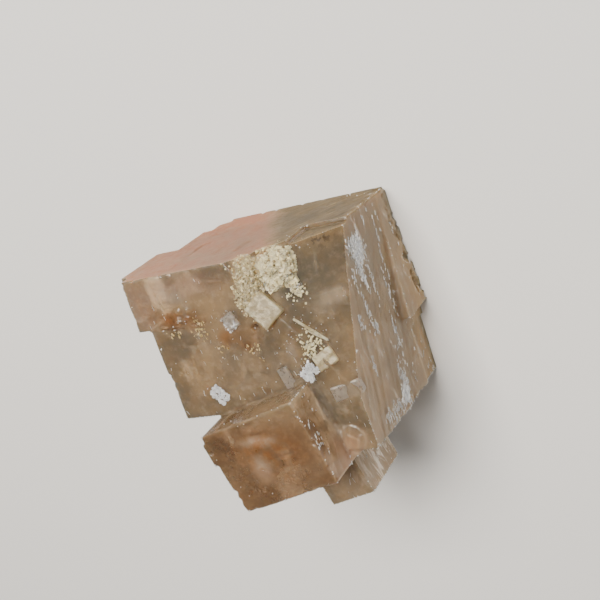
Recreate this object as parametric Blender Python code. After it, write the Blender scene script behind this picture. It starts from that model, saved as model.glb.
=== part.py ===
"""A group of intergrown halite cubes, lying on its flat back face.

The main block's edges run along X, Y and Z. Its front face looks up, and its back lies on the ground.
Blocks are written in millimetres from the middle of the main block's back. Angles are in degrees.
"""

import math
import random

import bmesh
import bpy
from mathutils import Matrix, Vector

MM = 0.001
SEED = 7

# Main block
LEFT = -14.4
RIGHT = 17.0
TOP = 15.7
LOW_TOP = -7.8
BOTTOM = -15.7
FRONT = 26.5

# The corner block at the upper left stands out from the main one
CORNER_LEFT = -17.0
CORNER_FLARE = 1.1
CORNER_LOW = 7.3

# Second crystal, in its own turned axes
SECOND_TURN = 13.7
SECOND_LOW = Vector((-9.65, -19.3, 15.5))
SECOND_HIGH = Vector((7.65, -5.8, 33.2))

# Third crystal, in its own turned axes
THIRD_TURN = 14.2
THIRD_LOW = Vector((-2.4, -26.25, 12.9))
THIRD_HIGH = Vector((5.5, -12.0, 24.0))

# The broken corner at the upper right of the front: points where its plane cuts three edges
BREAK_ON_TOP = Vector((0.6, TOP, FRONT))
BREAK_ON_SIDE = Vector((RIGHT, TOP, 14.6))
BREAK_ON_RIGHT = Vector((RIGHT, -9.5, FRONT))
BREAK_STEPS = 9
BREAK_PROUD = 0.4
BREAK_BITE = 0.22
TOP_NOTCH = 0.7

# Steps that run down the right face, and the ledge at its back
RIGHT_STEPS = 7
RIGHT_STEP_TURN = 15.0
RIGHT_STEP_DEEP = 0.13
RIGHT_STEP_FIRST = 7.0
RIGHT_STEP_APART = 2.6
LEDGE_OUT = 1.1
LEDGE_DEEP = 8.5
LEDGE_CHIPS = 30

# Shallow plates on the faces
PLATE_THICK = 1.0
PLATE_LEAST = 0.06
PLATE_MOST = 0.16

UPWARD = Vector((0, 0, 1))
FAR = 60.0


def clear_scene():
    for item in list(bpy.data.objects):
        bpy.data.objects.remove(item, do_unlink=True)


def new_collection(name, hidden):
    made = bpy.data.collections.new(name)
    bpy.context.scene.collection.children.link(made)
    made.hide_render = hidden
    return made


def salt_material():
    made = bpy.data.materials.new("halite")
    made.use_nodes = True
    shader = made.node_tree.nodes["Principled BSDF"]
    shader.inputs["Base Color"].default_value = (0.62, 0.42, 0.30, 1.0)
    shader.inputs["Roughness"].default_value = 0.22
    shader.inputs["Metallic"].default_value = 0.0
    shader.inputs["IOR"].default_value = 1.544
    shader.inputs["Transmission Weight"].default_value = 0.5
    return made


def between(low, high):
    """A Matrix that takes a unit cube to the box from low to high."""
    low = Vector(low)
    high = Vector(high)
    return Matrix.LocRotScale((low + high) / 2, None, high - low)


def leaning(centre, sizes, angles):
    """A Matrix that takes a unit cube to a box about centre. It turns about Z, then X, then Y."""
    around_x, around_y, around_z = (math.radians(angle) for angle in angles)
    turned = Matrix.Rotation(around_z, 4, "Z")
    turned = Matrix.Rotation(around_x, 4, "X") @ turned
    turned = Matrix.Rotation(around_y, 4, "Y") @ turned
    return Matrix.Translation(centre) @ turned @ Matrix.Diagonal((*sizes, 1.0))


def turned_about_z(angle, box):
    return Matrix.Rotation(math.radians(angle), 4, "Z") @ box


class Group:
    """Helper solids of one kind, joined to the crystal or cut from it."""

    def __init__(self, name, parent):
        self.collection = new_collection(name, hidden=True)
        self.parent = parent
        self.name = name

    def add(self, box, knob=None):
        """Adds a cube that box, a Matrix in millimetres, sizes and places, or a rough knob like it."""
        mesh = bpy.data.meshes.new(self.name)
        shape = bmesh.new()
        if knob is None:
            bmesh.ops.create_cube(shape, size=1.0)
        else:
            bmesh.ops.create_icosphere(shape, subdivisions=2, radius=0.5)
            for point in shape.verts:
                point.co *= knob.uniform(0.86, 1.1)
        bmesh.ops.transform(shape, matrix=Matrix.Scale(MM, 4) @ box, verts=shape.verts)
        bmesh.ops.recalc_face_normals(shape, faces=shape.faces)
        shape.to_mesh(mesh)
        shape.free()
        made = bpy.data.objects.new(f"{self.name}_{len(self.collection.objects)}", mesh)
        made.parent = self.parent
        made.hide_render = True
        made.display_type = "WIRE"
        self.collection.objects.link(made)


def main_block(grown):
    """The big crystal: its upper part, the corner block that stands out of it and the longer right part."""
    grown.add(between((LEFT - 0.55, -0.1, 0.4), (RIGHT - 2, TOP - 0.6, FRONT - 0.12)))
    grown.add(between((CORNER_LEFT, CORNER_LOW, 13.6), (-6.2, TOP, FRONT + 0.06)))
    grown.add(between((CORNER_LEFT - CORNER_FLARE, 8.6, 13.9), (-9.0, TOP + 0.1, 24.7)))
    grown.add(between((-4.3, BOTTOM, 0.0), (RIGHT, LOW_TOP + 3, FRONT)))
    grown.add(between((-7.0, -11.6, 3.2), (RIGHT - 3, LOW_TOP + 2, 21.4)))


def turned_crystals(twins, chance):
    """The second and third crystals, with plates, a side step, a small cube and a rounded lobe."""
    twins.add(turned_about_z(SECOND_TURN, between(SECOND_LOW, SECOND_HIGH)))
    side_low = (SECOND_LOW.x - 0.65, -10.9, 22.0)
    side_high = (-5.0, -7.0, SECOND_HIGH.z - 0.1)
    twins.add(turned_about_z(SECOND_TURN, between(side_low, side_high)))
    low = Vector((-9.0, -18.7, SECOND_HIGH.z))
    high = Vector((7.0, -6.4, SECOND_HIGH.z))
    plates(twins, chance, low, high, UPWARD, 2, SECOND_TURN)
    twins.add(turned_about_z(THIRD_TURN, between(THIRD_LOW, THIRD_HIGH)))
    low = Vector((-1.9, -25.7, THIRD_HIGH.z))
    high = Vector((5.0, -19.5, THIRD_HIGH.z))
    plates(twins, chance, low, high, UPWARD, 2, THIRD_TURN)
    twins.add(turned_about_z(SECOND_TURN, between((5.6, -18.9, 17.0), (8.9, -14.8, 27.0))))
    lobe = leaning((8.0, -17.0, 24.2), (5.4, 5.2, 8.4), (0, 0, 0))
    twins.add(turned_about_z(SECOND_TURN + 4, lobe), knob=chance)


def small_crystals(grown):
    """Cubes on the front: a pale one turned on its corner, plates along its edge and flat ones lower down."""
    grown.add(leaning((5.4, 7.6, 25.5), (4.3, 3.6, 3.4), (-9, 13, -55)))
    grown.add(leaning((-0.4, 6.9, 26.0), (2.1, 2.3, 1.3), (0, 3, 22)))
    grown.add(leaning((9.5, -2.5, 25.9), (3.0, 2.3, 1.5), (-4, 6, 45)))
    grown.add(leaning((-6.8, -4.4, 25.9), (2.4, 3.0, 1.4), (0, 2, 38)))
    grown.add(leaning((12.0, -1.3, 24.7), (3.0, 2.4, 2.2), (-9, 18, 20)))
    grown.add(leaning((10.3, 0.9, 25.1), (2.0, 3.2, 1.6), (-8, 18, 31)))
    grown.add(leaning((14.0, -6.2, 25.6), (4.4, 2.2, 1.5), (0, 7, 9)))
    grown.add(leaning((11.0, 3.2, 25.0), (6.0, 0.6, 0.9), (-12, 20, -47)))
    grown.add(leaning((7.6, 0.9, 25.4), (1.4, 3.4, 1.7), (-2, 6, 24)))
    grown.add(leaning((5.6, -3.3, 26.0), (1.7, 3.8, 1.3), (0, 0, 14)))
    grown.add(leaning((9.6, -9.9, 25.5), (3.0, 13.5, 2.6), (0, 4, 17)))
    grown.add(leaning((-9.3, 11.9, 26.1), (3.9, 3.0, 1.1), (0, 0, 10)))
    grown.add(leaning((13.2, 4.9, 21.55), (5.0, 4.6, 2.0), (-12, 31, 0)))
    grown.add(leaning((9.9, 8.7, 22.2), (2.2, 2.8, 2.0), (12, -8, 30)))


def grains(grown, chance, centre, spread, count, least, most):
    """A heap of small salt grains, each turned its own way."""
    for _ in range(count):
        place = Vector(chance.gauss(middle, reach / 2) for middle, reach in zip(centre, spread))
        side = chance.uniform(least, most)
        sizes = (side, side * chance.uniform(0.75, 1.1), side * chance.uniform(0.75, 1.1))
        angles = [chance.uniform(0, 90) for _ in range(3)]
        grown.add(leaning(place, sizes, angles))


def lump(grown, chance, centre, sizes):
    """A rounded knob of fine salt with a rough skin."""
    turned = leaning(centre, sizes, (chance.uniform(-20, 20), chance.uniform(-20, 20), 0))
    grown.add(turned, knob=chance)


def grain_crust(grown, chance):
    """The pale crust across the broken corner and the loose crumbs below it."""
    lump(grown, chance, (7.9, 12.5, 22.7), (4.6, 5.4, 4.0))
    lump(grown, chance, (6.2, 13.4, 23.4), (3.4, 3.6, 3.0))
    lump(grown, chance, (7.6, 10.9, 23.4), (2.8, 2.6, 2.6))
    lump(grown, chance, (4.5, 12.8, 24.6), (3.0, 3.4, 2.6))
    lump(grown, chance, (3.2, 10.9, 25.7), (2.3, 3.4, 1.8))
    grains(grown, chance, (7.2, 12.7, 24.1), (2.2, 2.4, 0.9), 16, 0.7, 1.3)
    grains(grown, chance, (4.0, 12.7, 25.6), (1.4, 2.2, 0.6), 10, 0.6, 1.2)
    grains(grown, chance, (3.0, 9.9, 26.4), (1.0, 1.8, 0.3), 7, 0.7, 1.3)
    grains(grown, chance, (9.8, 8.7, 23.2), (0.9, 1.2, 0.5), 5, 0.7, 1.2)
    grains(grown, chance, (-8.0, 8.2, 26.4), (3.0, 1.4, 0.2), 7, 0.5, 1.0)


def plates(group, chance, low, high, outward, count, turn=0.0, sunk=False):
    """Shallow square plates on the rectangle from low to high, standing out of the face or sunk in it."""
    for _ in range(count):
        sides = [min(chance.uniform(1.6, 6.5), 0.8 * (b - a)) for a, b in zip(low, high)]
        place = Vector(chance.uniform(a + s / 2, b - s / 2) for a, b, s in zip(low, high, sides))
        depth = chance.uniform(PLATE_LEAST, PLATE_MOST)
        place += outward * (PLATE_THICK / 2 - depth if sunk else depth - PLATE_THICK / 2)
        sides = [PLATE_THICK if axis else side for axis, side in zip(outward, sides)]
        swing = [chance.gauss(0, 3) if axis else 0.0 for axis in outward]
        group.add(turned_about_z(turn, leaning(place, sides, swing)))


def face_plates(grown, cut, chance):
    """Steps and pits on the six faces of the main block."""
    front_low = Vector((LEFT + 0.6, LOW_TOP + 0.6, FRONT))
    front_high = Vector((12.0, 13.5, FRONT))
    plates(grown, chance, front_low, front_high, UPWARD, 2)
    plates(cut, chance, front_low, front_high, UPWARD, 3, sunk=True)
    top_low = Vector((-11.0, TOP, 4.0))
    top_high = Vector((13.0, TOP, 22.0))
    plates(cut, chance, top_low, top_high, Vector((0, 1, 0)), 5, sunk=True)
    left_low = Vector((LEFT - 0.55, -5.0, 5.0))
    left_high = Vector((LEFT - 0.55, 4.0, 22.0))
    plates(grown, chance, left_low, left_high, Vector((-1, 0, 0)), 5)
    under_low = Vector((-1.0, BOTTOM, 4.0))
    under_high = Vector((13.0, BOTTOM, 22.0))
    plates(grown, chance, under_low, under_high, Vector((0, -1, 0)), 5)


def broken_corner(cut, chance):
    """The broken corner: one slanting cut, and square steps that bite a little below it."""
    across = BREAK_ON_SIDE - BREAK_ON_TOP
    down = BREAK_ON_RIGHT - BREAK_ON_TOP
    normal = down.cross(across).normalized()
    if normal.z < 0:
        normal.negate()
    facing = normal.to_track_quat("Z", "Y").to_matrix().to_4x4()
    lift = Matrix.Translation(BREAK_ON_TOP + normal * (FAR / 2 + BREAK_PROUD))
    cut.add(lift @ facing @ Matrix.Diagonal((FAR, FAR, FAR, 1.0)))
    for _ in range(BREAK_STEPS):
        x = chance.uniform(3.0, 15.5)
        y = chance.uniform(-4.0, TOP - 1)
        point = BREAK_ON_TOP - normal * chance.uniform(0, BREAK_BITE)
        z = point.z + (normal.x * (point.x - x) + normal.y * (point.y - y)) / normal.z
        if 13.0 < z < FRONT - 0.3:
            cut.add(between((x, y, z), (x + FAR, y + FAR, z + FAR)))
    notch_low = Vector((9.4, TOP - TOP_NOTCH, 14.4))
    cut.add(between(notch_low, notch_low + Vector((FAR, FAR, FAR))))


def right_face(grown, cut, chance):
    """Long shallow steps down the right face, and the ledge with its crumbling edge at the back."""
    for number in range(RIGHT_STEPS):
        depth = RIGHT_STEP_DEEP * (number + 0.8)
        start = RIGHT_STEP_FIRST + RIGHT_STEP_APART * number + chance.uniform(-0.5, 0.5)
        turn = RIGHT_STEP_TURN + chance.uniform(-5, 6)
        slab = Matrix.Diagonal((4.0, FAR, FAR, 1.0))
        slab.translation = Vector((RIGHT - depth + 2.0, 0.0, FAR / 2))
        swing = Matrix.Rotation(math.radians(-turn), 4, "X")
        cut.add(Matrix.Translation((0, 0, start)) @ swing @ slab)
    grown.add(leaning((RIGHT - 1.35, 5.6, LEDGE_DEEP / 2), (4.0, 19.0, LEDGE_DEEP), (0, 0, 5.2)))
    cut.add(between((RIGHT - 0.5, -FAR, -1.0), (FAR, -6.0, 5.6)))
    for _ in range(LEDGE_CHIPS):
        y = chance.uniform(-4.0, 14.5)
        out = RIGHT + LEDGE_OUT * (12 - y) / 16 - 0.1
        z = chance.uniform(1.2, 3.2)
        sides = [chance.uniform(0.7, 1.5) for _ in range(3)]
        cut.add(leaning((out + 0.45, y, z - 1.2), sides, [chance.uniform(0, 90) for _ in range(3)]))


def back_corner(cut):
    """The back corner at the upper left is missing in square steps."""
    cut.add(between((-FAR, 4.2, -1.0), (-16.2, FAR, 12.6)))
    cut.add(between((-FAR, 5.6, -1.0), (-14.4, FAR, 7.7)))
    cut.add(between((-FAR, 7.9, -1.0), (-12.7, FAR, 4.9)))
    cut.add(leaning((-13.6, TOP + 1.2, -0.4), (4.0, 4.6, 5.6), (0, 24, 38)))


def edge_chips(cut, chance, start, end, count, least, most):
    """Small chips knocked from the edge that runs from start to end."""
    for _ in range(count):
        place = Vector(start).lerp(Vector(end), chance.random())
        place += Vector(chance.gauss(0, 0.12) for _ in range(3))
        sides = [chance.uniform(least, most) for _ in range(3)]
        cut.add(leaning(place, sides, [chance.uniform(0, 90) for _ in range(3)]))


def second_corner(side_x, side_y, z):
    """A corner of the second crystal in the main block's axes: 0 is its low side and 1 its high one."""
    x = (SECOND_LOW.x, SECOND_HIGH.x)[side_x]
    y = (SECOND_LOW.y, SECOND_HIGH.y)[side_y]
    return Matrix.Rotation(math.radians(SECOND_TURN), 4, "Z") @ Vector((x, y, z))


def worn_edges(cut, chance):
    edge_chips(cut, chance, (RIGHT, BOTTOM, 3), (RIGHT, BOTTOM, 25), 16, 0.5, 1.2)
    edge_chips(cut, chance, (-9, TOP, 0.4), (RIGHT, TOP, 0.4), 10, 0.4, 1.0)
    cut.add(leaning((RIGHT + 0.2, TOP + 0.6, 0.0), (2.0, 1.4, 3.0), (20, 10, 40)))
    edge_chips(cut, chance, (LEFT, LOW_TOP, FRONT), (LEFT, 5, FRONT), 8, 0.3, 0.8)
    edge_chips(cut, chance, (CORNER_LEFT, CORNER_LOW, FRONT), (CORNER_LEFT, TOP, FRONT), 5, 0.3, 0.6)
    edge_chips(cut, chance, (CORNER_LEFT, TOP, FRONT), (-1, TOP, FRONT), 8, 0.3, 0.8)
    edge_chips(cut, chance, (RIGHT, -9, FRONT), (RIGHT, BOTTOM, FRONT), 5, 0.5, 1.1)
    front = SECOND_HIGH.z
    edge_chips(cut, chance, second_corner(0, 0, front), second_corner(0, 1, front), 7, 0.4, 1.0)
    edge_chips(cut, chance, second_corner(0, 0, front), second_corner(1, 0, front), 7, 0.3, 0.8)
    edge_chips(cut, chance, second_corner(1, 0, front), second_corner(1, 1, front), 8, 0.4, 1.0)
    cut.add(leaning(second_corner(0, 0, front) + Vector((1.6, 0.0, 0.4)), (1.5, 1.2, 1.6), (20, 10, 30)))


def hollows(cut):
    """The notch under the main block, beside the second crystal, and gaps in the upper left."""
    cut.add(leaning((12.9, -17.0, 23.6), (1.7, 2.1, 3.4), (0, 0, 14)))
    cut.add(leaning((-6.0, 7.4, 26.8), (3.0, 0.6, 1.2), (0, 4, 6)))
    cut.add(leaning((-10.9, 7.1, 26.7), (4.0, 0.5, 1.0), (0, 0, -3)))
    cut.add(leaning((3.1, 5.3, 26.6), (1.2, 0.8, 1.2), (0, 0, 30)))


def join(crystal, steps):
    """Joins or cuts each group in turn, and keeps the outer skin of what comes out."""
    for name, operation, group in steps:
        modifier = crystal.modifiers.new(name, "BOOLEAN")
        modifier.operation = operation
        modifier.operand_type = "COLLECTION"
        modifier.collection = group.collection
        modifier.solver = "EXACT"
    bpy.context.view_layer.update()
    solid = crystal.evaluated_get(bpy.context.evaluated_depsgraph_get())
    crystal.data = bpy.data.meshes.new_from_object(solid)
    crystal.modifiers.clear()
    keep_outer_skin(crystal.data)


def keep_outer_skin(mesh):
    """Removes crumbs cut loose and pits that a later crystal closed: all but the largest joined surface."""
    shape = bmesh.new()
    shape.from_mesh(mesh)
    left = set(shape.verts)
    skins = []
    while left:
        skin = {left.pop()}
        front = list(skin)
        while front:
            point = front.pop()
            near = {edge.other_vert(point) for edge in point.link_edges} & left
            left -= near
            skin |= near
            front += near
        skins.append(skin)
    largest = max(skins, key=len)
    bmesh.ops.delete(shape, geom=[v for v in shape.verts if v not in largest], context="VERTS")
    shape.to_mesh(mesh)
    shape.free()


def centre_on_base(parent, crystal):
    """Moves everything so that the middle of the crystal's bottom is at the origin."""
    bpy.context.view_layer.update()
    solid = crystal.evaluated_get(bpy.context.evaluated_depsgraph_get())
    corners = [solid.matrix_world @ point.co for point in solid.data.vertices]
    for axis in range(2):
        values = [corner[axis] for corner in corners]
        parent.location[axis] = -(min(values) + max(values)) / 2
    parent.location[2] = -min(corner.z for corner in corners)


def main():
    clear_scene()
    chance = random.Random(SEED)
    shown = new_collection("halite cubic crystal", hidden=False)
    parent = bpy.data.objects.new("block_middle", None)
    shown.objects.link(parent)
    core = Group("core", parent)
    core.add(between((LEFT, LOW_TOP, 0.0), (RIGHT, TOP, FRONT)))
    crystal = core.collection.objects[0]
    core.collection.objects.unlink(crystal)
    bpy.data.collections.remove(core.collection)
    crystal.name = "halite_crystal"
    crystal.hide_render = False
    crystal.display_type = "TEXTURED"
    crystal.data.materials.append(salt_material())
    shown.objects.link(crystal)
    grown = Group("grown", parent)
    broken = Group("broken", parent)
    twins = Group("twins", parent)
    cut = Group("cut", parent)
    late = Group("late", parent)
    main_block(grown)
    broken_corner(broken, chance)
    right_face(grown, broken, chance)
    back_corner(broken)
    face_plates(grown, broken, chance)
    turned_crystals(twins, chance)
    worn_edges(cut, chance)
    hollows(cut)
    small_crystals(late)
    grain_crust(late, chance)
    steps = (
        ("grow", "UNION", grown),
        ("break", "DIFFERENCE", broken),
        ("grow_twins", "UNION", twins),
        ("wear", "DIFFERENCE", cut),
        ("grow_late", "UNION", late),
    )
    join(crystal, steps)
    centre_on_base(parent, crystal)


main()
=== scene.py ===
# %% [markdown]
# A group of intergrown salt crystals lies on its flat back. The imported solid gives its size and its
# cubes, and this lesson gives it the surface and the clouded, see-through body of rock salt.

# %% Load the solid
import math
import random

import bmesh
import bpy
import numpy as np
from mathutils import Matrix, Vector, noise


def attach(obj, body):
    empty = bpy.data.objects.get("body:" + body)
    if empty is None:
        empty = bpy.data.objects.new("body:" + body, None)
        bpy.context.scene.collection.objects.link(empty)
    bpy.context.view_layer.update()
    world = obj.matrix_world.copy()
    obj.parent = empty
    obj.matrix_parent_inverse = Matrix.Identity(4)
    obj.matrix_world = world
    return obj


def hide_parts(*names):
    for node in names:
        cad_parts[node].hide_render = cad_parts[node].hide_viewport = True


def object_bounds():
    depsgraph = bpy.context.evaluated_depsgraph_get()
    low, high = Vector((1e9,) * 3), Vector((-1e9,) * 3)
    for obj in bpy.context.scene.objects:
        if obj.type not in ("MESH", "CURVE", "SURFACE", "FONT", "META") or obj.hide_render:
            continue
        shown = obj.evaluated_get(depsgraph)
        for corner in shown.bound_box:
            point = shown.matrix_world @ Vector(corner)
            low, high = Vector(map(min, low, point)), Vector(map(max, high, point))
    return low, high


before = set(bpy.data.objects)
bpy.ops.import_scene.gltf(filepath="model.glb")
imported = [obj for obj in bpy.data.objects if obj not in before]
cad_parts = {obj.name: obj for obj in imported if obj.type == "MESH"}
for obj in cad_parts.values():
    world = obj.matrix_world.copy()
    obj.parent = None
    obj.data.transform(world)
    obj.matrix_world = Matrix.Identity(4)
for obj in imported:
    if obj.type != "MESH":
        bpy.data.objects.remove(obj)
solid_box = [list(corner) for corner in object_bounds()]
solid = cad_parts["halite_crystal"]
MM = 0.001
BLOCK_MIDDLE = Vector((-0.2014, 5.1183, 0.0)) * MM
print("solid", [round((high - low) / MM, 1) for low, high in zip(*solid_box)], "mm")


# %% [markdown]
# The camera was fitted to corners read from the photograph, with the main block taken as 34 mm wide.
# That width is a guess, and the camera's distance of about 150 mm goes with it. Two unit vectors give
# what is right and up in the picture. That is plainer than three angles, because the picture is
# rolled against the crystal's edges.

# %% Camera
CAMERA_PLACE = BLOCK_MIDDLE + Vector((82.81, 48.17, 147.16)) * MM
PICTURE_RIGHT = Vector((0.8604, -0.3094, -0.4049)).normalized()
PICTURE_UP = Vector((0.1455, 0.9107, -0.3867)).normalized()
TOWARDS_CAMERA = PICTURE_RIGHT.cross(PICTURE_UP)
LENS_MM = 63.2

camera_data = bpy.data.cameras.new("camera")
camera_data.lens = LENS_MM
camera_data.sensor_width = 36.0
camera_data.clip_start = 0.005
camera = bpy.data.objects.new("camera", camera_data)
bpy.context.scene.collection.objects.link(camera)
axes = Matrix((PICTURE_RIGHT, TOWARDS_CAMERA.cross(PICTURE_RIGHT), TOWARDS_CAMERA)).transposed()
camera.matrix_world = Matrix.Translation(CAMERA_PLACE) @ axes.to_4x4()
bpy.context.scene.camera = camera


# %% [markdown]
# A pale floor and soft light. One broad warm lamp shines from beside the camera, a weaker one from
# the picture's right lights the broken face, and the even sky fills the shadows.

# %% Floor and light
def soft_lamp(name, direction, distance, width, watts, colour):
    """A square lamp that looks at the crystal from direction."""
    data = bpy.data.lights.new(name, "AREA")
    data.size = width
    data.energy = watts
    data.color = colour
    lamp = bpy.data.objects.new(name, data)
    bpy.context.scene.collection.objects.link(lamp)
    towards = Vector(direction).normalized()
    turn = towards.to_track_quat("Z", "Y").to_matrix().to_4x4()
    lamp.matrix_world = Matrix.Translation(towards * distance + Vector((0, 0, 0.015))) @ turn


from_window = 0.1 * PICTURE_UP + TOWARDS_CAMERA - 0.6 * PICTURE_RIGHT
from_side = 0.9 * PICTURE_RIGHT + 0.5 * TOWARDS_CAMERA + 0.5 * PICTURE_UP
soft_lamp("window", from_window, 0.5, 0.30, 5.6, (1.0, 0.95, 0.88))
soft_lamp("side", from_side, 0.45, 0.18, 1.9, (1.0, 0.97, 0.92))

sky = bpy.data.worlds.new("sky")
sky.use_nodes = True
sky.node_tree.nodes["Background"].inputs["Color"].default_value = (1.0, 0.98, 0.95, 1.0)
sky.node_tree.nodes["Background"].inputs["Strength"].default_value = 0.25
bpy.context.scene.world = sky

FLOOR_HALF = 8.0
floor_shape = bmesh.new()
bmesh.ops.create_grid(floor_shape, x_segments=1, y_segments=1, size=FLOOR_HALF)
floor_mesh = bpy.data.meshes.new("floor")
floor_shape.to_mesh(floor_mesh)
floor_shape.free()
floor = bpy.data.objects.new("floor", floor_mesh)
bpy.context.scene.collection.objects.link(floor)


# %% [markdown]
# A material is a sum of masks and noises. A small class wraps a node's output, so that the sums can
# be written as Python expressions. Another adds every node and keeps the places where masks sit.

# %% Words for materials
# The numbers of a Mix node's colour sockets
COLOUR_A, COLOUR_B, COLOUR_OUT = 6, 7, 2


class Wire:
    """An output of a node. Sums on it add Math nodes."""

    def __init__(self, finish, socket):
        self.finish = finish
        self.socket = socket

    def maths(self, operation, *others):
        values = dict(enumerate((self, *others)))
        return self.finish.add("ShaderNodeMath", {"operation": operation}, values)

    def __add__(self, other):
        return self.maths("ADD", other)

    def __mul__(self, other):
        return self.maths("MULTIPLY", other)

    def __sub__(self, other):
        return self.maths("SUBTRACT", other)

    def __rsub__(self, other):
        return self.finish.add("ShaderNodeMath", {"operation": "SUBTRACT"}, {0: other, 1: self})

    __radd__ = __add__
    __rmul__ = __mul__

    def held(self):
        """Kept between 0 and 1."""
        return self.finish.add("ShaderNodeClamp", {}, {"Value": self})

    def band(self, low, high):
        """0 up to low and 1 from high, smooth between."""
        return self.finish.ramp(self, low, high)


class Finish:
    """A material in the making."""

    def __init__(self, name):
        self.material = bpy.data.materials.new(name)
        self.material.use_nodes = True
        self.tree = self.material.node_tree
        self.shader = self.tree.nodes["Principled BSDF"]
        self.output = self.tree.nodes["Material Output"]
        place = self.add("ShaderNodeTexCoord", {}, {}, "Object")
        moved = self.vector("SUBTRACT", place, BLOCK_MIDDLE)
        self.place = self.vector("SCALE", moved, scale=1 / MM)
        self.x, self.y, self.z = (self.part(self.place, axis) for axis in "XYZ")

    def add(self, kind, settings, values, out=0):
        """Adds a node, sets it up, fills its sockets and returns one of its outputs."""
        node = self.tree.nodes.new(kind)
        for name, value in settings.items():
            setattr(node, name, value)
        for name, value in values.items():
            if isinstance(value, Wire):
                self.tree.links.new(value.socket, node.inputs[name])
            else:
                node.inputs[name].default_value = value
        return Wire(self, node.outputs[out])

    def vector(self, operation, first, second=(0, 0, 0), scale=1.0):
        values = {0: first, "Scale": scale} if operation == "SCALE" else {0: first, 1: second}
        return self.add("ShaderNodeVectorMath", {"operation": operation}, values)

    def part(self, vector, axis):
        return self.add("ShaderNodeSeparateXYZ", {}, {0: vector}, axis)

    def ramp(self, value, low, high):
        values = {"Value": value, "From Min": low, "From Max": high}
        return self.add("ShaderNodeMapRange", {"interpolation_type": "SMOOTHSTEP"}, values)

    def noise(self, scale, detail=3.0, roughness=0.55, stretch=(1, 1, 1), warp=0.0):
        """Noise with about scale bumps to the millimetre, squeezed along each axis by stretch."""
        place = self.vector("MULTIPLY", self.place, stretch)
        values = {"Vector": place, "Scale": scale, "Detail": detail}
        values.update({"Roughness": roughness, "Distortion": warp})
        return self.add("ShaderNodeTexNoise", {}, values)

    def cells(self, scale, feature="F1", stretch=(1, 1, 1)):
        """How far each place is from the middle or the edge of its cell."""
        place = self.vector("MULTIPLY", self.place, stretch)
        values = {"Vector": place, "Scale": scale}
        return self.add("ShaderNodeTexVoronoi", {"feature": feature}, values, "Distance")

    def blob(self, centre, reach, soft=0.5):
        """1 inside an ellipsoid about centre, and 0 outside it."""
        away = self.vector("SUBTRACT", self.place, centre)
        scaled = self.vector("DIVIDE", away, reach)
        length = self.add("ShaderNodeVectorMath", {"operation": "LENGTH"}, {0: scaled}, "Value")
        return self.ramp(length, 1 + soft / 2, 1 - soft)

    def stored(self, name):
        """A number that the mesh keeps on its points."""
        return self.add("ShaderNodeAttribute", {"attribute_name": name}, {}, "Fac")

    def mix(self, share, first, second):
        """The colour first where share is 0, and second where it is 1."""
        settings = {"data_type": "RGBA", "clamp_factor": True}
        values = {0: share, COLOUR_A: self.colour(first), COLOUR_B: self.colour(second)}
        return self.add("ShaderNodeMix", settings, values, COLOUR_OUT)

    def colour(self, value):
        return value if isinstance(value, Wire) else (*value, 1.0)

    def bump(self, height, strength, distance, normal=None):
        values = {"Height": height, "Strength": strength, "Distance": distance}
        if normal is not None:
            values["Normal"] = normal
        return self.add("ShaderNodeBump", {}, values)

    def feed(self, **values):
        """Fills sockets of the shader: a link where a value changes over the surface, else a number."""
        for name, value in values.items():
            socket = self.shader.inputs[name.replace("_", " ")]
            if isinstance(value, Wire):
                self.tree.links.new(value.socket, socket)
            else:
                socket.default_value = value


print("materials can be written")


# %% [markdown]
# The floor is plain matt board.

# %% Floor finish
board = Finish("pale board")
board.feed(Base_Color=(0.74, 0.73, 0.71, 1.0), Roughness=0.85)
floor.data.materials.append(board.material)


# %% [markdown]
# The real faces are not planes: they step, ripple and crumble. Bevels can't run round the hundreds of
# small steps of the solid, so a copy of it is remeshed with fine even faces, which rounds its edges
# slightly as on salt that has met damp air, and then its points are moved by rules for each face.

# %% Crystal body
VOXEL = 0.22 * MM


def merged_copy(node, name):
    """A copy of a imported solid, with its loose triangles joined."""
    mesh = node.data.copy()
    mesh.name = name
    shape = bmesh.new()
    shape.from_mesh(mesh)
    bmesh.ops.remove_doubles(shape, verts=shape.verts, dist=0.001 * MM)
    shape.to_mesh(mesh)
    shape.free()
    mesh.materials.clear()
    made = bpy.data.objects.new(name, mesh)
    bpy.context.scene.collection.objects.link(made)
    return made


def finished(made):
    """Turns an object's modifiers into its mesh."""
    bpy.context.view_layer.update()
    mesh = bpy.data.meshes.new_from_object(made.evaluated_get(bpy.context.evaluated_depsgraph_get()))
    made.modifiers.clear()
    made.data = mesh


body = merged_copy(solid, "salt_body")
remesh = body.modifiers.new("fine faces", "REMESH")
remesh.mode = "VOXEL"
remesh.voxel_size = VOXEL
finished(body)
print("salt body", len(body.data.vertices), "points")


# %% [markdown]
# The front of the group ripples gently, the right face has split into long slivers that run down it,
# the top is scratched by slanting growth lines, the crust is rough and every edge is worn. Each rule
# gives a depth in millimetres. How far a point stands out among its neighbours finds the edges.

# %% Surface relief
SLIVER_LEAN = 0.27
SLIVER_DEEP = 0.13
GROWTH_LINE_DEEP = 0.06
RIPPLE_DEEP = 0.03
WEAR_DEEP = 0.16
CRUST_DEEP = 0.22
FLAT_BACK = 0.3
MOST_TRIANGLES = 185000
SHARP_ANGLE = 38
CLUMP = (7.3, 12.6, 23.0)
ARM = (3.9, 12.0, 25.2)


def points_and_normals(mesh):
    places = np.empty(len(mesh.vertices) * 3)
    normals = np.empty(len(mesh.vertices) * 3)
    mesh.vertices.foreach_get("co", places)
    mesh.vertices.foreach_get("normal", normals)
    return places.reshape(-1, 3), normals.reshape(-1, 3)


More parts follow.
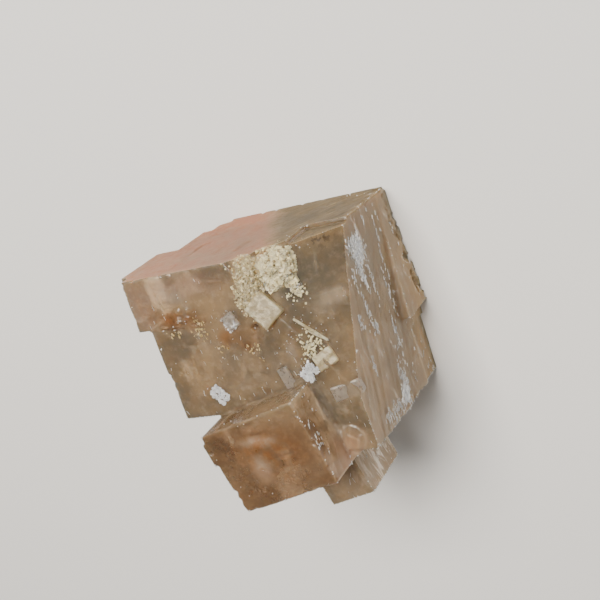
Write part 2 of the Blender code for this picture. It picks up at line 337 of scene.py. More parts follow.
def standing_out(mesh, rounds):
    """For each point: above 0 on an outer edge, 0 on a flat face and below 0 in a corner."""
    places, normals = points_and_normals(mesh)
    ends = np.empty(len(mesh.edges) * 2, dtype=np.int32)
    mesh.edges.foreach_get("vertices", ends)
    first, second = ends.reshape(-1, 2).T
    step = places[second] - places[first]
    step /= np.linalg.norm(step, axis=1)[:, None] + 1e-12
    total = len(places)
    count = np.maximum(np.bincount(ends, minlength=total), 1)
    bend = np.bincount(second, (normals[second] * step).sum(axis=1), total)
    bend -= np.bincount(first, (normals[first] * step).sum(axis=1), total)
    bend /= count
    for _ in range(rounds):
        around = np.bincount(first, bend[second], total) + np.bincount(second, bend[first], total)
        bend = (bend + around / count) / 2
    return bend


def noise_at(places, scale):
    return np.array([noise.noise(Vector(place) * scale) for place in places])


def sawtooth(value):
    return value - np.floor(value)


def near(places, middle, reach):
    """1 at middle, falling to nothing about reach away, for every place."""
    away = (places - np.array(middle)) / np.array(reach)
    return np.exp(-2 * (away**2).sum(axis=1))


def relief(places, normals, bend):
    """How far each point sinks, in millimetres."""
    x, y, z = places.T
    broad = noise_at(places, 0.16)
    fine = noise_at(places * (1, 1, 0.6), 0.9)
    right = np.clip((normals[:, 0] - 0.8) * 8, 0, 1)
    across = z + SLIVER_LEAN * y + 1.6 * broad + 0.25 * fine
    slivers = SLIVER_DEEP * sawtooth(across / 1.7) * np.clip(fine + 0.8, 0, 1)
    top = np.clip((normals[:, 1] - 0.8) * 8, 0, 1) * np.clip((x + 2) / 3, 0, 1)
    lines = GROWTH_LINE_DEEP * sawtooth((0.79 * x + 0.62 * z + 0.8 * broad) / 1.1)
    ripple = RIPPLE_DEEP * (1 + broad + 0.5 * fine)
    wear = WEAR_DEEP * np.clip(2.5 * bend - 0.15, 0, 1) * np.clip(0.5 + 0.9 * fine + 0.5 * broad, 0, 1)
    crusty = np.clip(near(places, CLUMP, (4, 4, 4)) + near(places, ARM, (3, 5, 3)), 0, 1)
    rough = CRUST_DEEP * crusty * (0.5 + noise_at(places, 2.2))
    return right * slivers + top * lines + ripple + wear + rough


places, normals = points_and_normals(body.data)
in_block = (places - np.array(BLOCK_MIDDLE)) / MM
sunk = relief(in_block, normals, standing_out(body.data, 2))
sunk[in_block[:, 2] < FLAT_BACK] = 0.0
places -= normals * sunk[:, None] * MM
low, high = (np.array(corner) for corner in solid_box)
body.data.vertices.foreach_set("co", np.clip(places, low, high).ravel())
thin_out = body.modifiers.new("fewer faces", "DECIMATE")
thin_out.ratio = min(1.0, MOST_TRIANGLES / (2 * len(body.data.polygons)))
finished(body)
body.data.shade_smooth()
body.data.set_sharp_from_angle(angle=math.radians(SHARP_ANGLE))


def keep_on_points(mesh, name, values):
    """Stores a number from 0 to 1 on every point, for the material."""
    attribute = mesh.attributes.new(name, "FLOAT", "POINT")
    attribute.data.foreach_set("value", np.clip(values, 0, 1).astype(np.float32))


def on_side(axis, behind, beyond):
    """Above 0 on one side of the main block: on its face, and on the steps beyond a depth."""
    face = (normals[:, axis] - 0.75) * 6 * (in_block[:, axis] > behind)
    steps = (in_block[:, axis] - beyond) * 3 * (normals[:, 2] < 0.4)
    return np.maximum(face, steps)


places, normals = points_and_normals(body.data)
in_block = (places - np.array(BLOCK_MIDDLE)) / MM
keep_on_points(body.data, "edge", 3 * standing_out(body.data, 1))
keep_on_points(body.data, "right_side", np.maximum(on_side(0, 14.5, 15.6), (in_block[:, 0] - 16.3) * 4))
keep_on_points(body.data, "top_side", on_side(1, 14.0, 15.2))
print("relief up to", round(float(sunk.max()), 2), "mm,", len(body.data.polygons), "faces left")


# %% [markdown]
# Rock salt is clear, but this group is full of dust and of tiny bubbles, so light spreads inside it
# and it looks like clouded glass. One Principled shader is clear and another is milky. A Mix Shader
# joins them by how clouded each place is, and a Volume Absorption tints long ways through the body.

# %% Salt
PINK = (0.56, 0.27, 0.20)
PALE_PINK = (0.68, 0.50, 0.42)
TAUPE = (0.57, 0.45, 0.31)
OLIVE = (0.27, 0.22, 0.14)
OLIVE_DARK = (0.15, 0.12, 0.07)
HONEY = (0.62, 0.46, 0.28)
RUST = (0.52, 0.24, 0.08)
BROWN = (0.38, 0.23, 0.125)
PALE = (0.76, 0.66, 0.54)
SLATE = (0.13, 0.12, 0.11)
GREY_GREEN = (0.45, 0.43, 0.35)
FROST_AND_GLARE = (0.93, 0.91, 0.87)
CREAM = (0.93, 0.79, 0.45)
SAND = (0.66, 0.52, 0.28)

# Soft patches: centre and reach in the block's millimetres, colour and strength
PATCHES = (
    ((-16.0, 11.5, 26.0), (4.0, 6.0, 4.0), PALE_PINK, 0.5),
    ((-6.0, 13.6, 26.5), (8.0, 2.4, 2.0), PALE_PINK, 0.4),
    ((-8.5, 12.0, 26.4), (2.2, 1.6, 1.0), PALE, 0.5),
    ((-13.0, 9.6, 26.6), (1.2, 1.4, 0.8), BROWN, 0.5),
    ((11.5, 14.5, 18.6), (4.6, 2.6, 3.4), OLIVE, 0.6),
    ((3.0, -16.0, 33.0), (8.0, 3.6, 3.0), BROWN, 0.5),
    ((-4.6, -10.0, 31.0), (3.0, 6.0, 4.0), BROWN, 0.5),
    # The near-black spot below and left of the pale cube is the cube's painted shadow
    ((3.2, 5.4, 26.4), (0.8, 0.6, 0.8), (0.09, 0.03, 0.015), 0.9),
    ((9.6, -9.9, 26.4), (1.5, 7.0, 1.5), PALE, 0.5),
    ((12.2, -1.2, 25.0), (1.8, 1.3, 1.6), PALE, 0.75),
    ((10.4, 0.9, 25.4), (1.3, 1.9, 1.6), SAND, 0.6),
    ((11.0, 3.2, 25.0), (2.6, 1.6, 1.6), SAND, 0.35),
    ((7.6, 0.9, 26.0), (1.0, 1.8, 1.4), PALE, 0.6),
    ((14.2, -6.2, 25.8), (2.3, 1.2, 1.4), PALE, 0.65),
    ((13.6, 5.6, 22.0), (2.8, 1.6, 2.4), PALE, 0.35),
    ((5.6, -3.3, 26.6), (1.1, 2.1, 0.9), PALE, 0.7),
    ((-0.4, 6.9, 26.6), (1.3, 1.4, 0.9), PALE, 0.6),
    ((10.6, -15.8, 27.0), (4.6, 4.2, 3.6), PALE_PINK, 0.55),
    ((7.6, -22.5, 18.5), (6.0, 6.0, 7.0), PALE, 0.6),
    ((1.6, -9.4, 33.2), (2.9, 1.0, 1.4), PALE, 0.6),
    ((0.6, -13.8, 33.2), (1.7, 2.3, 1.4), PALE, 0.5),
    ((14.6, 6.4, 21.5), (2.2, 1.2, 2.0), PALE, 0.6),
    ((17.0, 2.0, 14.0), (2.0, 16.0, 12.0), HONEY, 0.75),
    ((11.5, 8.5, 22.0), (6.0, 6.5, 5.0), GREY_GREEN, 0.45),
    ((12.0, -9.0, 25.0), (4.5, 6.0, 4.0), GREY_GREEN, 0.35),
)
RUSTY = (
    ((-10.7, 8.4, 26.5), (2.0, 1.7, 1.5), 0.75),
    ((-7.0, 7.6, 26.5), (2.8, 1.5, 1.5), 0.5),
    ((-2.2, 4.6, 26.5), (1.4, 1.3, 1.5), 0.65),
    ((0.9, 2.6, 26.5), (1.0, 0.9, 1.5), 0.6),
    ((1.6, 4.2, 26.5), (2.4, 2.0, 1.5), 0.35),
)

# Where the salt is milkier than elsewhere: centre, reach and strength
MILKY = (
    ((7.6, -22.5, 18.5), (6.0, 6.0, 7.0), 0.6),
    ((10.6, -15.8, 27.0), (4.6, 4.2, 3.6), 0.7),
    ((1.6, -9.4, 33.2), (2.9, 1.0, 1.4), 0.35),
    ((0.6, -13.8, 33.2), (1.7, 2.3, 1.4), 0.3),
    ((14.6, 6.4, 21.5), (2.2, 1.2, 2.0), 0.3),
    ((-16.0, 11.5, 24.0), (3.0, 6.0, 8.0), 0.1),
    ((5.4, 7.6, 25.5), (3.0, 2.8, 2.4), 0.5),
    ((11.6, 14.6, 18.6), (4.0, 2.4, 3.4), 0.3),
)
MILK = (0.66, 0.58, 0.49)


def zoned_tint(skin, on_top, cloud, fine_cloud):
    """The colour of the clouded salt before the white streaks, partly painted glare, and the crust."""
    tint = skin.mix(cloud.band(0.35, 0.65), TAUPE, HONEY)
    tint = skin.mix(fine_cloud.band(0.5, 0.75) * 0.4, tint, PALE)
    pink_end = (skin.x - 0.5 * skin.z + 4.0 * fine_cloud + 8.0 * cloud).band(0.6, 5.4)
    pink = on_top * (1 - pink_end)
    tint = skin.mix(pink * (1.5 * cloud + 0.7 * fine_cloud - 0.35).held(), tint, PINK)
    lengthwise = skin.x * 0.62 - skin.z * 0.79
    crosswise = skin.x * 0.79 + skin.z * 0.62
    values = {0: crosswise * 1.4, 1: skin.y, 2: lengthwise * 0.16}
    along = skin.add("ShaderNodeCombineXYZ", {}, values)
    values = {"Vector": along, "Scale": 1.0, "Detail": 4.0, "Roughness": 0.7}
    streaks = skin.add("ShaderNodeTexNoise", {}, values)
    olive = skin.mix((streaks * 0.6 + cloud * 0.4).band(0.35, 0.6), OLIVE_DARK, OLIVE)
    olive = skin.mix(streaks.band(0.58, 0.66) * 0.5, olive, SAND)
    tint = skin.mix(on_top * pink_end, tint, olive)
    lower = skin.z.band(26.9, 28.0) * (1 - skin.y.band(-9.0, -3.0))
    tint = skin.mix(lower * 0.8, tint, BROWN)
    for centre, reach, colour, strength in PATCHES:
        tint = skin.mix(skin.blob(centre, reach, 0.8) * strength, tint, colour)
    dark_spots = skin.noise(1.3, 3.0, 0.6).band(0.50, 0.60)
    pits = skin.blob((12.3, 14.9, 18.6), (4.2, 2.2, 3.0), 0.8) * dark_spots
    tint = skin.mix(pits * 0.75, tint, SLATE)
    dusty = skin.noise(0.5, 5.0, 0.7).band(0.40, 0.6)
    rust = lower * skin.blob((2.2, -11.4, 33.0), (5.5, 3.8, 3.5), 0.8) * dusty * 0.8
    for centre, reach, strength in RUSTY:
        rust = rust + skin.blob(centre, reach, 0.8) * strength
    return skin.mix(rust.held(), tint, RUST)


def frost_and_glare_share(skin, on_right, grain):
    """Where the salt is white: crushed splinters on the right face, partly a painted reflection there, and
    the small low crystal.
    """
    slivers = skin.noise(0.55, 5.0, 0.72, (1.0, 0.30, 1.8), 0.8)
    frost_and_glare = on_right * slivers.band(0.56, 0.68) * 0.5
    # The bright blotch on the right face: its white is a painted reflection
    frost_and_glare = frost_and_glare + skin.blob((17.0, 9.8, 14.3), (2.0, 2.0, 1.9), 0.6) * grain.band(0.35, 0.6) * 0.8
    frost_and_glare = frost_and_glare + skin.blob((10.5, -22.0, 18.0), (2.2, 5.5, 6.0), 0.8) * slivers.band(0.48, 0.62) * 0.6
    return frost_and_glare, slivers * on_right


def salt():
    skin = Finish("clouded rock salt")
    cloud = skin.noise(0.16, 4.0, 0.6)
    fine_cloud = skin.noise(0.9, 4.0, 0.62)
    grain = skin.noise(2.6, 6.0, 0.75)
    on_top = skin.stored("top_side")
    on_right = skin.stored("right_side")
    worn_and_lit_edge = skin.stored("edge")
    tint = zoned_tint(skin, on_top, cloud, fine_cloud)
    milk_tint = skin.vector("MULTIPLY", tint, MILK)
    frost_and_glare, slivers = frost_and_glare_share(skin, on_right, grain)
    clump = skin.blob(CLUMP, (3.2, 3.2, 3.2), 0.4)
    # Darker cracks between the crust's grains: painted shade
    crack_shade = skin.cells(1.3, "DISTANCE_TO_EDGE").band(0.02, 0.14)
    crust_and_crack_shade = skin.mix(crack_shade, BROWN, CREAM)
    arm = skin.blob(ARM, (2.0, 4.4, 2.2), 0.5)
    crusts_and_highlights = (
        # Paler edges: partly wear, partly a painted rim highlight
        (worn_and_lit_edge.band(0.15, 0.8) * 0.18, PALE),
        # White of the right face: partly frost, partly a painted reflection
        (frost_and_glare.held(), FROST_AND_GLARE),
        (arm * 0.75, SAND),
        (clump, crust_and_crack_shade),
    )
    for share, colour in crusts_and_highlights:
        tint = skin.mix(share, tint, colour)
        milk_tint = skin.mix(share, milk_tint, colour)
    near_floor = 0.35 * (1 - skin.z.band(2.0, 10.0))
    milky = 0.08 + 0.12 * cloud.band(0.35, 0.65) + 0.12 * fine_cloud.band(0.45, 0.7)
    milky = milky + on_top * (0.12 + 0.5 * cloud + 0.2 * fine_cloud) + 0.16 * on_right + near_floor
    milky = milky + frost_and_glare + clump + 0.8 * arm + 0.06 * worn_and_lit_edge
    for centre, reach, strength in MILKY:
        milky = milky + skin.blob(centre, reach, 0.8) * strength
    rough = 0.09 + 0.4 * frost_and_glare + 0.35 * clump + 0.3 * arm + 0.10 * fine_cloud + 0.1 * worn_and_lit_edge
    rough = rough + 0.38 * on_top + 0.24 * on_right
    normal = skin.bump(grain * 0.5 + slivers * 2.0, 0.3, 0.12 * MM)
    normal = skin.bump(skin.cells(0.7, "F1", (1, 1, 0.5)), 0.08, 0.2 * MM, normal)
    skin.feed(
        Base_Color=tint,
        Roughness=rough.held(),
        Normal=normal,
        IOR=1.544,
        Specular_IOR_Level=0.25,
        Transmission_Weight=0.88,
        Subsurface_Weight=1.0,
        Subsurface_Radius=(1.0, 0.75, 0.5),
        Subsurface_Scale=8.0 * MM,
    )
    clouded = {
        "Base Color": milk_tint,
        "Roughness": (rough + 0.15).held(),
        "Normal": normal,
        "IOR": 1.544,
        "Specular IOR Level": 0.05,
        "Transmission Weight": 0.12,
        "Subsurface Weight": 1.0,
        "Subsurface Radius": (1.0, 0.75, 0.5),
        "Subsurface Scale": 4.0 * MM,
    }
    milk = skin.add("ShaderNodeBsdfPrincipled", {}, clouded)
    clear = Wire(skin, skin.shader.outputs[0])
    both = skin.add("ShaderNodeMixShader", {}, {0: milky.held(), 1: clear, 2: milk})
    skin.tree.links.new(both.socket, skin.output.inputs["Surface"])
    inside = skin.tree.nodes.new("ShaderNodeVolumeAbsorption")
    inside.inputs["Color"].default_value = (0.90, 0.76, 0.62, 1.0)
    inside.inputs["Density"].default_value = 9.0
    skin.tree.links.new(inside.outputs[0], skin.output.inputs["Volume"])
    return skin.material


body.data.materials.append(salt())
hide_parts("halite_crystal")
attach(body, "root")


# %% [markdown]
# The crust and the white streaks are loose grains: hundreds of tiny cubes and splinters that catch
# the light. Each kind is one joined mesh. They are scattered over the faces of the body, more of
# them where a weight is high, which leaves the smooth faces bare.

# %% Places on the surface
def face_places(mesh):
    """Centre (in the block's millimetres), normal and area of every face."""
    count = len(mesh.polygons)
    centres, normals, areas = np.empty(count * 3), np.empty(count * 3), np.empty(count)
    mesh.polygons.foreach_get("center", centres)
    mesh.polygons.foreach_get("normal", normals)
    mesh.polygons.foreach_get("area", areas)
    centres = (centres.reshape(-1, 3) - np.array(BLOCK_MIDDLE)) / MM
    return centres, normals.reshape(-1, 3), areas


centres, outward, areas = face_places(body.data)
faced_up = np.clip(outward @ np.array(TOWARDS_CAMERA), 0, 1)
FULL_TURN = 6.3
HALF_DIAGONAL = 0.87
LOOSE = bpy.data.collections.new("loose salt")
bpy.context.scene.collection.children.link(LOOSE)


def picked(weights, count, seed):
    """Numbers of count faces, chosen by weight and area."""
    share = weights * areas * (centres[:, 2] > 1.0)
    return np.random.default_rng(seed).choice(len(share), count, p=share / share.sum())


def inside_box(place, reach):
    """True if a grain of that reach stays within the solid's box."""
    spot = np.array(place)
    return bool((spot - reach > low).all() and (spot + reach < high).all())


def riding(name, shape, material):
    """Makes a mesh of loose salt that rides on the group."""
    mesh = bpy.data.meshes.new(name)
    shape.to_mesh(mesh)
    shape.free()
    mesh.materials.append(material)
    made = bpy.data.objects.new(name, mesh)
    LOOSE.objects.link(made)
    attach(made, "root")
    print(name, len(mesh.polygons), "faces")
    return made


def near_spots(spots, base=0.0):
    """For every face, the sum of near() over a table of (middle, reach, strength)."""
    total = base
    for middle, reach, strength in spots:
        total = total + strength * near(centres, middle, reach)
    return total


def scatter(name, material, faces, least, most, seed, sizes=(1, 1, 1), along=None, rise=0.15, loose=0.12):
    """One mesh of small blocks, least to most millimetres, on those faces.

    They turn at random, or lie along a direction that varies by loose. Rise lifts their middles off
    the face, as a share of their size.
    """
    chance = random.Random(seed)
    shape = bmesh.new()
    for face in faces:
        size = chance.uniform(least, most) * MM
        out = Vector(outward[face])
        place = Vector(centres[face]) * MM + BLOCK_MIDDLE + out * size * rise
        if not inside_box(place, HALF_DIAGONAL * size * max(sizes)):
            continue
        if along is None:
            angle = chance.uniform(0, FULL_TURN)
            turn = Matrix.Rotation(angle, 4, Vector([chance.gauss(0, 1) for _ in range(3)]))
        else:
            lean = Vector(along) + Vector([chance.gauss(0, loose) for _ in range(3)])
            turn = lean.to_track_quat("Y", "Z").to_matrix().to_4x4()
        stretch = [size * side * chance.uniform(0.7, 1.2) for side in sizes]
        matrix = Matrix.Translation(place) @ turn @ Matrix.Diagonal((*stretch, 1.0))
        bmesh.ops.create_cube(shape, size=1.0, matrix=matrix)
    rounding = 0.12 * least * MM
    edges = list(shape.edges)
    bmesh.ops.bevel(
        shape, geom=edges, offset=rounding, affect="EDGES", segments=1, profile=0.5, material=-1
    )
    return riding(name, shape, material)


# %% [markdown]
# The cream clump and the sandy arm beside it are crusts of fine grains. Each is a heap of tiny
# cubes over the rough part of the body: many small ones, a few larger lumps, and some dark ones,
# which are painted shade in the gaps between them.

# %% Grains of the crust
def plain_salt(name, colour, roughness, clear):
    """Pale salt for grains, a little darker in noisy patches, a painted shade meant for its hollows."""
    finish = Finish(name)
    speckle = finish.noise(1.6, 4.0, 0.7)
    tint = finish.mix(speckle.band(0.3, 0.7), [part * 0.6 for part in colour], colour)
    finish.feed(
        Base_Color=tint,
        Roughness=(roughness + 0.3 * speckle).held(),
        Normal=finish.bump(finish.noise(5.0, 3.0, 0.6), 0.3, 0.05 * MM),
        IOR=1.544,
        Transmission_Weight=clear,
        Subsurface_Weight=0.5,
        Subsurface_Radius=(1.0, 0.85, 0.6),
        Subsurface_Scale=0.6 * MM,
    )
    return finish.material


cream_salt = plain_salt("cream grains", CREAM, 0.3, 0.15)
sandy_salt = plain_salt("sandy grains", SAND, 0.3, 0.3)
shadow_grain_salt = plain_salt("painted shadow grains", (0.40, 0.29, 0.15), 0.35, 0.2)
# White grains, used below for frost and for painted glints and highlights
frost_and_glare_salt = plain_salt("frost and glare splinters", FROST_AND_GLARE, 0.2, 0.35)
ragged = 0.3 * noise_at(centres, 0.9)
on_clump = near(centres, (7.7, 12.5, 22.8), (4.2, 4.2, 4.4)) + ragged > 0.36
scatter("clump_grains", cream_salt, picked(on_clump * faced_up, 1500, 1), 0.09, 0.36, 1)
# Dark grains among the cream ones are painted shade in the gaps of the clump
scatter("clump_shadow_grains", shadow_grain_salt, picked(on_clump * faced_up, 130, 15), 0.14, 0.40, 15, rise=0.3)
scatter("clump_lumps", cream_salt, picked(on_clump * faced_up, 110, 11), 0.4, 0.8, 11, rise=-0.1)
on_arm = near(centres, ARM, (2.0, 4.2, 2.4)) + 0.8 * near(centres, (3.0, 9.4, 26.4), (1.4, 2.2, 1.2))
scatter("arm_grains", sandy_salt, picked(on_arm * faced_up, 380, 6), 0.12, 0.40, 6)
PALE_SPOTS = (
    ((9.9, 8.7, 23.4), (1.2, 1.3, 1.5), 1.0),
    ((10.5, 0.9, 25.4), (1.5, 2.0, 1.6), 1.0),
)
pale_spots = near_spots(PALE_SPOTS, 0.5 * on_arm)
scatter("pale_grains", cream_salt, picked(pale_spots * faced_up, 420, 7), 0.10, 0.34, 7)


# %% [markdown]
# Beside the rust lie golden glints, painted highlights made of short leaning blocks of yellow salt,
# half sunk, and clear enough to look like a part of the face.

# %% Golden glints
GOLDEN_SPOTS = (
    ((-6.3, 6.4, 26.4), (1.3, 1.8, 1.2), 1.0),
    ((-10.4, 6.1, 26.4), (1.6, 0.5, 1.2), 0.6),
    ((-3.1, 3.2, 26.4), (1.1, 0.8, 1.2), 0.7),
    ((1.7, 2.1, 26.4), (1.2, 1.6, 1.2), 0.4),
)
# The yellow of these blocks is a painted glint
golden_glint_salt = plain_salt("golden glints", (0.82, 0.60, 0.28), 0.12, 0.35)
golden_faces = picked(near_spots(GOLDEN_SPOTS) * faced_up, 90, 16)
golden_lie = ((0.6, 1.3, 0.4), (0.25, -1.0, 0.0), 0.08, 0.5)
scatter("golden_glints", golden_glint_salt, golden_faces, 0.10, 0.42, 16, *golden_lie)


# %% [markdown]
# Two square patches on the front flash white where their skin is broken into many small facets. The
# flash is a painted reflection: flat white grains scattered inside a turned square show it from every side.

# %% Bright windows
def in_square(middle, half_sides, turn):
    """For every face: True inside a turned square of the front."""
    angle = math.radians(turn)
    away = centres - np.array(middle)
    along = away[:, 0] * math.cos(angle) + away[:, 1] * math.sin(angle)
    across = away[:, 1] * math.cos(angle) - away[:, 0] * math.sin(angle)
    inside = (abs(along) < half_sides[0]) & (abs(across) < half_sides[1])
    return inside & (abs(away[:, 2]) < 1.2) & (outward[:, 2] > 0.6)


left_window = in_square((-6.8, -4.4, 26.5), (1.05, 1.4), 38)
right_window = in_square((9.5, -2.5, 26.4), (1.3, 1.05), 45)
windows = left_window + right_window + 0.35 * in_square((-0.6, 6.6, 26.6), (1.1, 1.2), 22)
# Near-white grains: painted reflections on the windows and on the right face
painted_glint_salt = plain_salt("painted glint facets", (0.98, 0.97, 0.94), 0.08, 0.1)
window_lie = ((1.0, 1.0, 0.45), (-0.66, 0.75, 0.0), 0.04, 0.5)
scatter("window_facets", painted_glint_salt, picked(windows, 460, 8), 0.16, 0.42, 8, *window_lie)


# %% [markdown]
# Small crystals grew on the front, milkier than the big ones. Each is a bevelled block with uneven
# faces. All but the second thin sliver lie over a like block of the solid.

# %% Small milky crystals
# Millimetres added to a block's sides and height, so that no face coincides with the solid's
SPARE = 0.14
LIFT = 0.06


def milky_block(shape, centre, sizes, angles):
    """Adds a worn block, turned about Z, then X, then Y, to the mesh."""
    around_x, around_y, around_z = (math.radians(angle) for angle in angles)
    turn = Matrix.Rotation(around_y, 4, "Y") @ Matrix.Rotation(around_x, 4, "X")
    turn = turn @ Matrix.Rotation(around_z, 4, "Z")
    size = [(side + SPARE) * MM for side in sizes]
    place = Vector(centre) * MM + BLOCK_MIDDLE + turn @ Vector((0, 0, LIFT * MM))
    matrix = Matrix.Translation(place) @ turn @ Matrix.Diagonal((*size, 1.0))
    points = bmesh.ops.create_cube(shape, size=1.0, matrix=matrix)["verts"]
    edges = list({line for point in points for line in point.link_edges})
    rounding = min(0.22 * MM, 0.4 * min(size))
    made = bmesh.ops.bevel(
        shape, geom=edges, offset=rounding, affect="EDGES", segments=2, profile=0.5, material=-1
    )
    lines = list({line for face in made["faces"] for line in face.edges})
    long_lines = [line for line in lines if line.calc_length() > 0.5 * MM]
    bmesh.ops.subdivide_edges(shape, edges=long_lines, cuts=7, use_grid_fill=True)
    for point in shape.verts:
        if not point.tag:
            point.co += point.normal * 0.03 * MM * noise.noise(point.co / MM * 1.3)
            point.tag = True


PALE_ONES = (
    ((12.0, -1.2, 25.3), (3.0, 2.4, 2.0), (-9, 16, 20)),
    ((5.4, 7.6, 25.5), (4.3, 3.6, 3.4), (-9, 13, -55)),
    ((11.0, 3.3, 25.1), (5.6, 0.24, 0.8), (-12, 20, -47)),
    ((11.6, 2.3, 24.9), (3.0, 0.3, 0.8), (-12, 20, -40)),
)
CLEARER_ONES = (
    ((-0.4, 6.9, 26.0), (2.1, 2.3, 1.3), (0, 3, 22)),
    ((14.0, -6.2, 25.6), (4.4, 2.2, 1.5), (0, 10, 9)),
    ((7.6, 0.9, 25.4), (1.4, 3.4, 1.7), (-2, 6, 24)),
    ((5.6, -3.3, 26.0), (1.7, 3.8, 1.3), (0, 0, 14)),
)


def small_crystals(name, places, material):
    shape = bmesh.new()
    for centre, sizes, angles in places:
        milky_block(shape, centre, sizes, angles)
    riding(name, shape, material)


mottled = Finish("mottled cream")
mottling = mottled.noise(0.75, 5.0, 0.72, warp=0.6)
mottled.feed(
    Base_Color=mottled.mix(mottling.band(0.42, 0.60), (0.46, 0.37, 0.19), (0.90, 0.80, 0.54)),
    Roughness=(0.2 + 0.3 * mottling).held(),
    Normal=mottled.bump(mottled.noise(1.8, 5.0, 0.7), 0.5, 0.15 * MM),
    IOR=1.544,
    Transmission_Weight=0.55,
    Subsurface_Weight=0.6,
    Subsurface_Radius=(1.0, 0.85, 0.6),
    Subsurface_Scale=1.0 * MM,
)
small_crystals("pale_cube", PALE_ONES, mottled.material)
small_crystals("clear_cubes", CLEARER_ONES, plain_salt("milky cubes", (0.84, 0.76, 0.66), 0.15, 0.82))

# %% [markdown]
# The right face is split into slivers, and where they are crushed it is white, partly a painted
# reflection. Narrow splinters lie along the slivers, thick in the streaks of a table and thin elsewhere.

# %% White splinters on the right face
STREAK = (0.0, -1.0, SLIVER_LEAN)
# Places of the streaks on the right face (Y, Z), with how far they reach and how thick they lie
STREAKS = (
    # The first streak is the bright blotch, whose white is a painted reflection
    (10.3, 14.5, 1.9, 1.5, 4.0), (11.6, 15.6, 1.2, 1.6, 1.6), (8.2, 15.2, 2.0, 0.6, 0.7),
    (6.9, 17.7, 2.4, 0.5, 0.6), (2.6, 17.1, 3.0, 0.5, 0.8), (-1.4, 16.4, 1.6, 0.9, 0.9),
    (1.2, 19.9, 1.4, 0.7, 0.8), (-5.3, 20.4, 1.8, 0.6, 0.8), (10.5, 7.1, 2.4, 0.4, 0.6),
    (5.9, 7.9, 3.0, 0.4, 0.7), (1.8, 9.2, 3.0, 0.5, 0.8), (-4.1, 11.0, 3.0, 0.6, 0.9),
    (-3.9, 4.2, 1.8, 0.6, 0.6), (-13.0, 13.2, 2.2, 1.2, 0.8), (-13.8, 20.7, 1.8, 1.2, 0.8),
    (-10.9, 13.7, 2.4, 0.8, 0.9), (-14.2, 17.0, 1.4, 2.6, 0.7), (5.0, 13.0, 3.0, 0.5, 0.5),
)
on_right = np.clip((outward[:, 0] - 0.75) * 6, 0, 1)
thin_streaks = np.clip(noise_at(centres * (0.5, 0.16, 0.75), 1.0) * 3 - 0.4, 0, 1) ** 2
streak_spots = [((17.0, y, z), (4.0, wide, tall), strength) for y, z, wide, tall, strength in STREAKS]
splinter_faces = picked(on_right * near_spots(streak_spots, 0.12 * thin_streaks), 1150, 2)
scatter("white_splinters", frost_and_glare_salt, splinter_faces, 0.06, 0.27, 2, (0.7, 2.6, 0.5), STREAK, 0.1)
# Spots of the right face where the brightest glare is painted with white splinters
GLARE_SPOTS = (
    ((17.0, 10.4, 14.4), (3, 1.7, 1.4), 1.0),
    ((17.0, 7.2, 15.2), (3, 2.4, 0.5), 0.4),
    ((17.0, -13.4, 14.0), (3, 1.8, 1.5), 0.25),
)
glare_faces = picked(on_right * near_spots(GLARE_SPOTS), 560, 12)
scatter("painted_glare_splinters", painted_glint_salt, glare_faces, 0.12, 0.38, 12, (0.8, 1.8, 0.4), STREAK, 0.12)


# %% [markdown]
# Crumbs of white salt lie on the front, their white partly a painted glint, and thin scratches run
# across its flat faces. White crumbs on the worn edges are painted highlights. They are the same small
# blocks, picked by place, by direction and by the stored edges.

# %% Crumbs, scratches and edges
CRUMB_SPOTS = (
    ((9.0, 4.0, 25.0), (6, 6, 5), 1.0),
    ((-7.0, 7.6, 26.5), (4, 2, 2), 0.7),
    ((-2.0, 4.5, 26.5), (4, 5, 2), 0.5),
    ((5.0, -3.0, 26.5), (4, 4, 2), 0.4),
    ((11.0, 15.0, 19.0), (5, 2, 4), 0.5),
    ((13.4, 15.7, 2.6), (3, 2, 1.6), 1.2),
)
# The white of these crumbs is partly a painted glint
crumb_faces = picked(near_spots(CRUMB_SPOTS, 0.03) * faced_up, 190, 3)
scatter("bright_crumbs", frost_and_glare_salt, crumb_faces, 0.05, 0.16, 3)
on_front = (outward[:, 2] > 0.9) * (centres[:, 2] > 20)
on_flats = on_front + 0.4 * (outward[:, 1] > 0.9) * (centres[:, 0] < 2)
scratches = picked(on_flats * faced_up, 90, 13)
scatter("scratches", frost_and_glare_salt, scratches, 0.14, 0.34, 13, (0.22, 2.8, 0.2), (0.05, -1.0, 0.0), 0.03, 0.2)
edge_value = np.empty(len(body.data.vertices), dtype=np.float32)
body.data.attributes["edge"].data.foreach_get("value", edge_value)
face_edge = np.array([edge_value[face.vertices[0]] for face in body.data.polygons])
# White crumbs along the edges are painted highlights of the worn edges
on_edges = np.clip(face_edge * 2 - 0.8, 0, 1) * (outward[:, 2] > -0.2)
scatter("edge_highlight_crumbs", frost_and_glare_salt, picked(on_edges, 560, 10), 0.07, 0.18, 10)


# %% [markdown]
# Inside the body hang thin veils of bubbles, square like the crystal, and rusty dust. They are
# real sheets and specks under the surface, so they shift behind it as the view turns.

# %% Veils and dust inside
VEIL_THICK = 0.06
CORNER_CUT = Vector((0.543, 0.361, 0.758))
CORNER_DEPTH = 25.0


def deep_enough(place, room):
    return CORNER_CUT.dot(place) < CORNER_DEPTH - room


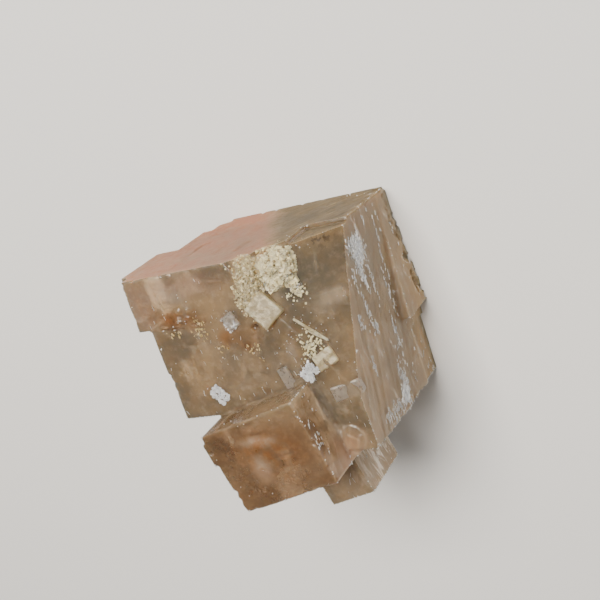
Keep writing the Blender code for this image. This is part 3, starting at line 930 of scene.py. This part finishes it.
def veil_shape(count, seed, zones, least, most):
    """Thin square sheets parallel to the crystal's faces, inside boxes of the block's millimetres."""
    chance = random.Random(seed)
    shape = bmesh.new()
    made_count = 0
    while made_count < count:
        zone_low, zone_high, turn, weight = chance.choice(zones)
        if chance.random() > weight:
            continue
        sides = Vector([chance.uniform(least, min(most, b - a)) for a, b in zip(zone_low, zone_high)])
        sides[chance.choice((0, 1, 2, 2, 2))] = VEIL_THICK
        ranges = zip(zone_low, zone_high, sides)
        spot = Vector([chance.uniform(start + side / 2, end - side / 2) for start, end, side in ranges])
        swing = Matrix.Rotation(math.radians(turn), 4, "Z")
        place = swing @ spot
        if turn == 0 and not deep_enough(place, sides.length / 4):
            continue
        there = Matrix.Translation(place * MM + BLOCK_MIDDLE)
        matrix = there @ swing @ Matrix.Diagonal((*(sides * MM), 1.0))
        bmesh.ops.create_cube(shape, size=1.0, matrix=matrix)
        made_count += 1
    return shape


def misty(name, colour, least, most, scale):
    """Mist or dust: see-through in patches."""
    finish = Finish(name)
    patches = finish.noise(scale, 5.0, 0.7).band(least, most)
    finish.feed(Base_Color=(*colour, 1.0), Roughness=0.5, Alpha=patches * 0.8)
    return finish.material


FRONT_ZONE = ((-13.4, -6.6, 22.5), (9.5, 14.3, 26.0), 0, 1.0)
RIGHT_ZONE = ((8.0, -14.0, 4.0), (16.0, 13.5, 25.8), 0, 0.8)
SECOND_ZONE = ((-8.7, -18.3, 22.5), (6.8, -6.8, 32.7), 13.7, 0.8)
THIRD_ZONE = ((-1.9, -25.7, 13.5), (5.0, -19.5, 23.5), 14.2, 0.6)
pale_mist = misty("pale mist", (0.9, 0.86, 0.8), 0.42, 0.75, 0.8)
haze = misty("soft haze", (0.78, 0.70, 0.60), 0.30, 0.95, 0.35)
ZONES = (FRONT_ZONE, RIGHT_ZONE, SECOND_ZONE, THIRD_ZONE)
riding("soft_haze", veil_shape(60, 14, ZONES, 3.0, 9.0), haze)
riding("pale_veils", veil_shape(150, 4, ZONES[:3], 0.7, 3.4), pale_mist)
RUST_ZONES = (
    ((-4.0, -16.0, 29.0), (6.4, -8.0, 32.8), 13.7, 1.0),
    ((-12.2, 7.8, 24.8), (-5.0, 9.6, 26.0), 0, 0.6),
    ((-3.6, 1.6, 24.8), (0.6, 5.6, 26.0), 0, 0.4),
)
rust_mist = misty("rusty dust", (0.46, 0.24, 0.09), 0.4, 0.75, 1.2)
riding("rusty_dust", veil_shape(170, 5, RUST_ZONES, 0.4, 2.4), rust_mist)
